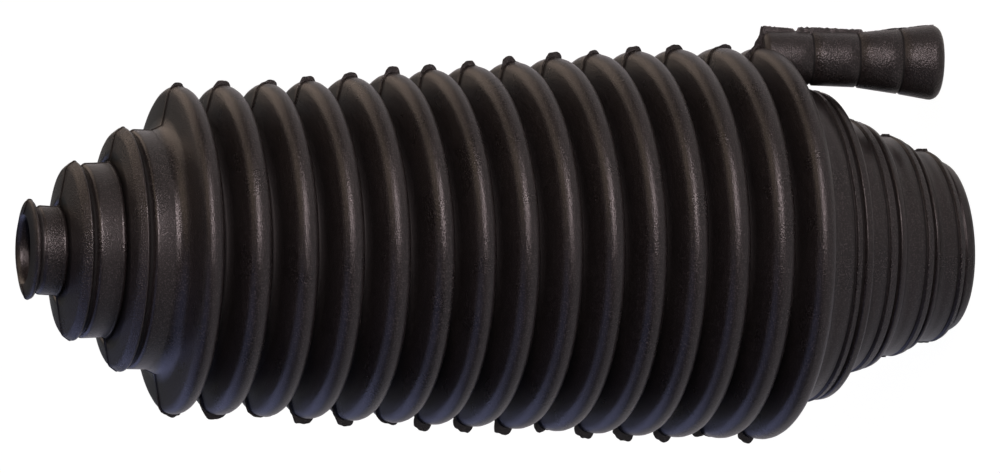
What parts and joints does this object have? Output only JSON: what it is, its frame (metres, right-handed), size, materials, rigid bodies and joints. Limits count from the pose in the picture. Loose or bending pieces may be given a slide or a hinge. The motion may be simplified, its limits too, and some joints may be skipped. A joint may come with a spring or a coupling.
{
  "type": "steering rack bellows boot",
  "caption": "Tapered black rubber bellows with stepped clamping collars at both ends and a breather tube, sealing a steering rack's ball joint.",
  "frame": {"origin": "middle of the large end's mouth, in the plane that the boot stands on", "axes": "+Z along the boot's axis from the large end to the tie rod's neck, +X towards the breather tube"},
  "size_m": [0.0842, 0.0794, 0.1927],
  "materials": {
    "rubber": "matt black, finely pebbled, with a satin sheen"
  },
  "bodies": {
    "root": {"bellows_boot": "rubber"}
  },
  "joints": []
}
